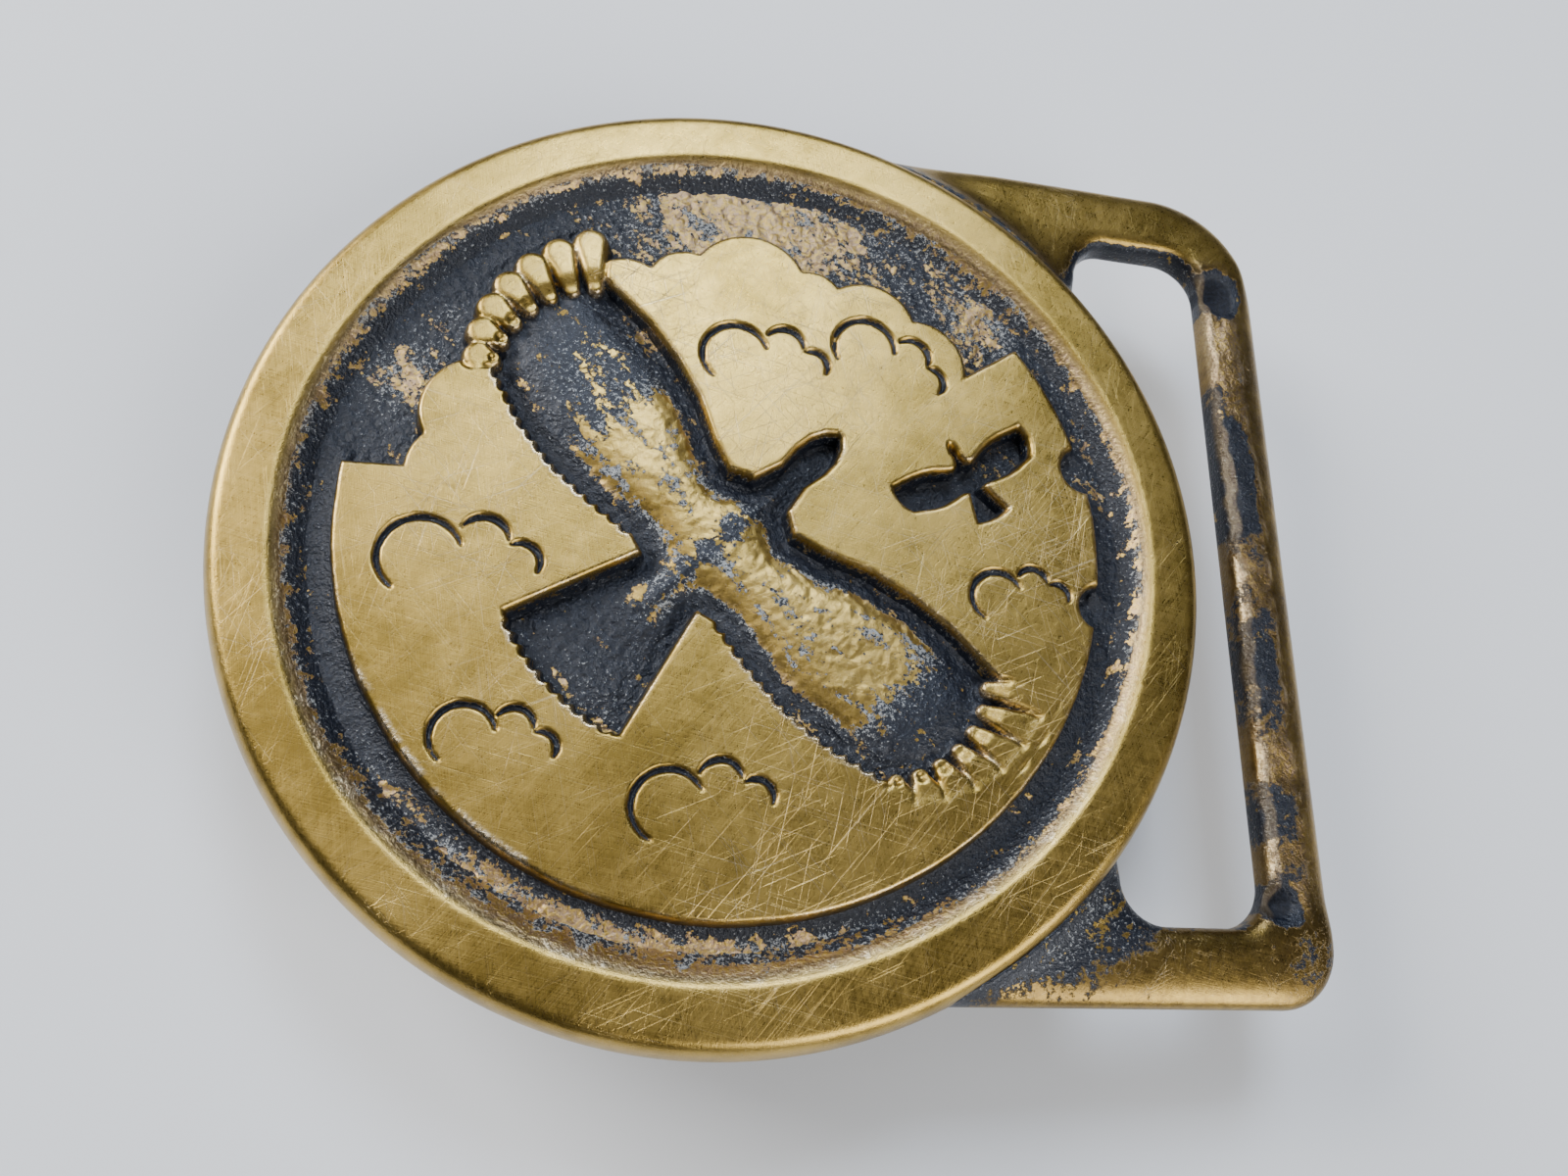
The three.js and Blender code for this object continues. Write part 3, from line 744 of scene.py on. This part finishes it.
def half_loop(corner):
    """The outer and the inner edge of one half, from its root in the disc to the bar's middle."""
    slot_bend_y = slot_half - slot_corner
    outer_bend = quarter((bar_outer - corner, loop_half - corner), corner, corner, 90, 0, 24)
    inner_bend = quarter((bar_inner - slot_corner, slot_bend_y), slot_corner, slot_corner, 90, 0, 24)
    web_bend = quarter((web_x + slot_corner, slot_bend_y), slot_corner, slot_corner, 180, 90, 12)
    web_root = (web_x - 0.8, slot_half - web_height - 2.0)
    outer = [(arm_root, loop_half), outer_bend[0]], outer_bend, [outer_bend[-1], (bar_outer, 0)]
    inner = [web_root, *web_bend, inner_bend[0]], inner_bend, [inner_bend[-1], (bar_inner, 0)]
    counts = arm_steps, bend_steps, bar_steps
    return joined(outer, counts), joined(inner, counts)


flip = np.array((1, -1))
upper_outer, upper_inner = half_loop(upper_corner)
lower_outer, lower_inner = half_loop(lower_corner)
outer_line = np.vstack([upper_outer, (lower_outer * flip)[::-1][1:]])
inner_line = np.vstack([upper_inner, (lower_inner * flip)[::-1][1:]])

# The section is a squarish ring, carried along both edges: its cosine runs from the outer to
# the inner edge and its sine over the thickness.
section = np.linspace(0, 2 * np.pi, section_steps, endpoint=False)[None, :]
cosine, sine = np.cos(section), np.sin(section)
squareness = np.where(cosine > 0, 0.48, 0.66)
side_share = 0.5 - 0.5 * np.sign(cosine) * np.abs(cosine) ** squareness
height_share = np.sign(sine) * np.abs(sine) ** 0.60
inner_x, inner_y = inner_line.T[..., None]
outer_x, outer_y = outer_line.T[..., None]
loop_x = inner_x + (outer_x - inner_x) * side_share
loop_y = inner_y + (outer_y - inner_y) * side_share + loop_drift
shoulder_x = rim_radius - shoulder_inset
fall = loop_fall * np.clip(loop_x - shoulder_x, 0, None) / (bar_inner - shoulder_x)
loop_z = face_height - loop_step - fall + loop_thickness / 2 * (height_share - 1)

# The arms rise in a cove against the rim and dive under its edge.
upper_side = ease(0.1, 0.7, height_share)
from_rim = np.hypot(loop_x, loop_y) - rim_radius
loop_z = loop_z + 0.7 * np.exp(-np.clip(from_rim + 0.2, 0, None) / 0.8) * upper_side
loop_z = np.minimum(loop_z, face_height - 0.5 - 1.6 * ease(-0.2, -1.4, from_rim))

# The bar slopes outwards and has a ragged strip of cast skin along its inner side.
on_bar = ease(bar_inner - 2.0, bar_inner, loop_x) * ease(25.0, 22.0, np.abs(loop_y - loop_drift))
share = side_share + 0.11 * cast_grain(loop_y, 0.0, 2.1, 95)
rough_strip = on_bar * ease(0.04, 0.12, share) * ease(0.66, 0.54, share) * upper_side
bar_slope = 0.40 * ease(0.15, 1.0, side_share) * on_bar * upper_side
strip_grain = 0.06 + 0.20 * cast_grain(loop_x, loop_y, 1.0, 101)
strip_grain = strip_grain + 0.14 * cast_grain(loop_x, loop_y, 0.42, 103)
low_waves = 0.02 * cast_grain(loop_x, loop_y, 2.5, 105) * upper_side
loop_z = loop_z - bar_slope + rough_strip * strip_grain + low_waves
sink_holes = patches(loop_x - bar_inner, loop_y, [
    (1.2, 22.7, 1.15, 1.7), (1.6, 21.6, 0.7, 0.9), (0.6, -22.2, 0.8, 1.3)])
loop_z = loop_z - sink_holes * upper_side

# Patina lies against the rim, on the webs and in the holes, and in three stains across the bar.
# The patina is also laid on as painted shade: on the slot's walls, most on the upper arm, on the
# upper half of the bar's inner face, and over the lower arm.
crease = np.exp(-np.clip(from_rim, 0, None) / 0.7)
lower_web = patches(loop_x, loop_y, [(24.0, -22.6, 3.0, 1.0), (20.5, -25.5, 2.2, 0.7)])
lower_end = spot(loop_x, loop_y, bar_inner + 2.2, -25.5, 2.6)
painted_lower_arm_shade = (1 - on_bar) * ease(-19.0, -24.0, loop_y)
stains = ease(2.2, 4.2, loop_y) * ease(13.0, 10.5, loop_y)
stains = stains + patches(loop_y, 0, [(-6.5, 0, 3.4, 0.75), (-17.0, 0, 2.0, 0.7)])
bar_stain = on_bar * stains * ease(0.62, 0.40, share)
painted_bar_inner_shade = on_bar * ease(0.16, 0.05, side_share) * spot(loop_y, 0, 9.5, 0, 4.5)
in_holes = np.clip(sink_holes * 1.3, 0, 1)
inner_wall = ease(0.16, 0.05, side_share) * ease(0.95, 0.6, height_share) * (1 - on_bar)
painted_wall_shade = inner_wall * (0.5 + ease(0.0, 6.0, loop_y) * ease(20.0, 24.0, loop_x))
bar_mottle = on_bar * (0.20 + 0.25 * cast_grain(loop_x, loop_y, 1.7, 107))
loop_marks = {
    "patina": 0.07 + 0.50 * crease + 0.45 * painted_wall_shade + 0.75 * lower_web + 0.22 * lower_end + 0.20 * painted_lower_arm_shade
              + 0.62 * bar_stain + 0.6 * painted_bar_inner_shade + 2.6 * in_holes + bar_mottle + 0.05 * rough_strip,
    "worn": 0.10 - 0.5 * in_holes + 0.22 * lower_web,
    "wear_and_glint": 0.25 * on_bar * ease(0.10, 0.05, np.abs(share - 0.07)) * upper_side,
    "skin": 0.9 * rough_strip + 0.35 * on_bar,
}

# Each end closes on its own middle, inside the disc.
loop_points = np.stack([loop_x, loop_y, loop_z], 2)
first_end, last_end = (np.broadcast_to(loop_points[k].mean(0), (1, section_steps, 3)) for k in (0, -1))
loop_points = np.concatenate([first_end, loop_points, last_end])
loop_marks = {label: np.pad(values, ((1, 1), (0, 0)), "edge") for label, values in loop_marks.items()}
strap_loop = grid_piece("strap_loop", loop_points, (False, True), loop_marks)
casting_finish("loop_brass", 0.5).coat(strap_loop)
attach(strap_loop, "root")
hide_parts("buckle_casting")


# ---- Back ---------------------------------------------------------------------------------
# The flat field on the back, inside the lip, with the boss that holds the hook. It was left
# as cast and has gone dull brown.

hook_low, hook_high = (np.array(corner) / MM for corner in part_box("belt_hook"))
rod_radius = (hook_high[1] - hook_low[1]) / 2
hook_x = hook_low[0] + rod_radius
boss_radius, boss_height = 4.3, 0.6
field_radius, field_thickness = 27.6, 1.2
field_steps = 420

field_section = [(0.0, field_thickness), (field_radius, field_thickness), (field_radius, 0.0), (0.0, 0.0)]
back_line = joined([field_section[:2], field_section[1:3], field_section[2:]], (12, 5, 170))
back_r, back_z = back_line[None, :, 0], back_line[None, :, 1]
back_turn = np.linspace(0, 2 * np.pi, field_steps, endpoint=False)[:, None]
back_x, back_y = back_r * np.cos(back_turn), back_r * np.sin(back_turn)
from_boss = np.hypot(back_x - hook_x, back_y)
boss = boss_height * ease(boss_radius + 0.5, boss_radius - 0.1, from_boss)
as_cast = 0.04 * cast_grain(back_x, back_y, 1.0, 111)
back_z = back_z + (back_z < 0.01) * (as_cast - boss)
back_marks = {
    "patina": 0.42 + 0.35 * ease(25.0, 27.3, back_r) + 0.3 * spot(back_x, back_y, hook_x, 0, 6.0),
    "worn": 0.50 + 0.2 * spot(back_x, back_y, 8, 4, 12),
    "wear_and_glint": 0.0,
    "skin": 0.6,
}
back_points = np.stack([back_x, back_y, back_z], 2)
back_field = grid_piece("back_field", back_points, (True, False), back_marks)
casting_finish("back_brass", 0.4).coat(back_field)
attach(back_field, "root")
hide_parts("buckle_casting")


# ---- Hook ---------------------------------------------------------------------------------
# A bent brass rod let into the boss, its end rounded with a file. It goes through a hole in
# the strap, and the strap has polished the inside of its bend.

hook_throat = 5.0
hook_bend = 4.4
hook_turn = np.radians(82)
hook_reach = 4.6
hook_root = 0.9
rod_steps, nose_steps, rod_sides = 110, 26, 72
hook_straight = hook_throat + rod_radius - hook_bend
bend_length = hook_bend * hook_turn
hook_length = hook_straight + bend_length + hook_reach

# Along the rod: even steps to the start of the round nose, then steps that close on its end.
nose_start = hook_length - rod_radius
nose = rod_radius * np.sin(np.linspace(0, np.pi / 2, nose_steps))
steps = np.concatenate([np.linspace(-hook_root, nose_start, rod_steps, endpoint=False), nose_start + nose])
into_nose = np.clip((steps - nose_start) / rod_radius, 0, 1)
girth = np.concatenate([[0], rod_radius * np.sqrt(1 - into_nose ** 2)])[:, None]
steps = np.concatenate([steps[:1], steps])[:, None]
around = np.linspace(0, 2 * np.pi, rod_sides, endpoint=False)[None, :]
girth = girth * (1 - 0.06 * ease(hook_straight, hook_length, steps))
girth = girth + 0.02 * lattice_noise(steps, 3 * np.cos(around), 1.6, 121) * (girth > 0.5)

# The rod runs straight down from the boss, bends round a centre and then runs straight again.
bend_angle = np.clip((steps - hook_straight) / hook_bend, 0, hook_turn)
beyond = np.clip(steps - hook_straight - bend_length, 0, None)
inward = hook_bend - girth * np.cos(around)
rod_x = hook_x + hook_bend - inward * np.cos(bend_angle) + beyond * np.sin(bend_angle)
rod_y = girth * np.sin(around)
rod_z = -np.minimum(steps, hook_straight) - inward * np.sin(bend_angle) - beyond * np.cos(bend_angle)
bend_inside = ease(0.0, 0.8, np.cos(around)) * ease(hook_straight - 1, hook_straight + 1.5, steps)
hook_marks = {
    "patina": 0.30 + 0.35 * ease(2.0, 0.6, steps) - 0.35 * bend_inside,
    "worn": 0.45,
    "wear_and_glint": 0.3 * bend_inside,
    "skin": 0.0,
}
belt_hook = grid_piece("hook_rod", np.stack([rod_x, rod_y, rod_z], 2), (False, True), hook_marks)
casting_finish("hook_brass", 0.8).coat(belt_hook)
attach(belt_hook, "root")
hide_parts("belt_hook")


# ---- Braze --------------------------------------------------------------------------------
# The fillet of yellow filler metal that fixes the hook in its boss. It wicked out unevenly
# and froze in ripples.

braze_leg = 1.2
braze_sides, fillet_steps = 240, 22
braze_turn = np.linspace(0, 2 * np.pi, braze_sides, endpoint=False)[:, None]
ripples = 0.12 * np.sin(3 * braze_turn + 1) + 0.07 * np.sin(5 * braze_turn) + 0.03 * np.sin(31 * braze_turn)
leg = braze_leg * (1 + ripples)
fillet = np.linspace(0, np.pi / 2, fillet_steps)[None, :]
fillet_r = rod_radius - 0.1 + leg * (1.05 - np.sin(fillet))
fillet_z = -boss_height - leg * (1.0 - np.cos(fillet)) * 1.05 + 0.02

# The hollow face closes through the rod and the boss, where it isn't seen.
inside_r = np.full(braze_turn.shape, rod_radius - 0.3)
inside_z = np.full(braze_turn.shape, 0.3 - boss_height)
braze_r = np.concatenate([fillet_r, inside_r, inside_r, fillet_r[:, :1]], 1)
braze_z = np.concatenate([fillet_z, fillet_z[:, -1:], inside_z, inside_z], 1)
braze_points = np.stack([hook_x + braze_r * np.cos(braze_turn), braze_r * np.sin(braze_turn), braze_z], 2)
braze_marks = {"patina": 0.25, "worn": 0.6, "wear_and_glint": 0.0, "skin": 0.4}
braze = grid_piece("braze_fillet", braze_points, (True, True), braze_marks)
casting_finish("braze_brass", 0.2).coat(braze)
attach(braze, "root")
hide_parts("hook_braze")


# ---- Stage --------------------------------------------------------------------------------
# A pale floor under the buckle's lowest point, a cool window, three plain soft lights, and
# the camera.

floor_z = cad_box[0][2]
floor_half = 1.5
floor_mesh = bpy.data.meshes.new("floor")
floor_corners = [(x * floor_half, y * floor_half, floor_z) for x, y in ((-1, -1), (1, -1), (1, 1), (-1, 1))]
floor_mesh.from_pydata(floor_corners, [], [(0, 1, 2, 3)])
floor = bpy.data.objects.new("floor", floor_mesh)
bpy.context.collection.objects.link(floor)
floor_paint = bpy.data.materials.new("pale_floor")
floor_paint.use_nodes = True
floor_shader = floor_paint.node_tree.nodes["Principled BSDF"]
floor_shader.inputs["Base Color"].default_value = (0.72, 0.73, 0.75, 1)
floor_shader.inputs["Roughness"].default_value = 0.8
floor.data.materials.append(floor_paint)


def soft_light(name, place, size, power, tint=(1, 1, 1)):
    """A square area light at place, in metres, turned to face the buckle."""
    light = bpy.data.lights.new(name, "AREA")
    light.size, light.energy, light.color = size, power, tint
    lamp = bpy.data.objects.new(name, light)
    lamp.location = place
    lamp.rotation_euler = (-Vector(place)).to_track_quat("-Z", "Y").to_euler()
    bpy.context.collection.objects.link(lamp)


soft_light("window", (0.03, 0.36, 0.50), 0.19, 2.4, (0.72, 0.83, 1.0))
soft_light("near_left", (-0.50, 0.30, 0.34), 0.35, 6.2)
soft_light("near_right", (0.40, -0.45, 0.45), 0.50, 5.5)
soft_light("overhead", (-0.25, 0.22, 0.86), 0.50, 1.05)
world = bpy.data.worlds.new("studio")
world.use_nodes = True
background = world.node_tree.nodes["Background"]
background.inputs["Color"].default_value = (0.75, 0.80, 0.88, 1)
background.inputs["Strength"].default_value = 0.11
bpy.context.scene.world = world

camera_data = bpy.data.cameras.new("camera")
camera_data.sensor_width = 36.0
camera_data.lens = 28.1
camera_data.clip_start = 0.002
camera = bpy.data.objects.new("camera", camera_data)
camera.location = Vector((-8.51, -28.64, 75.26)) * MM
camera.rotation_euler = Euler(np.radians((18.72, -9.55, 0.63)))
bpy.context.collection.objects.link(camera)
bpy.context.scene.camera = camera
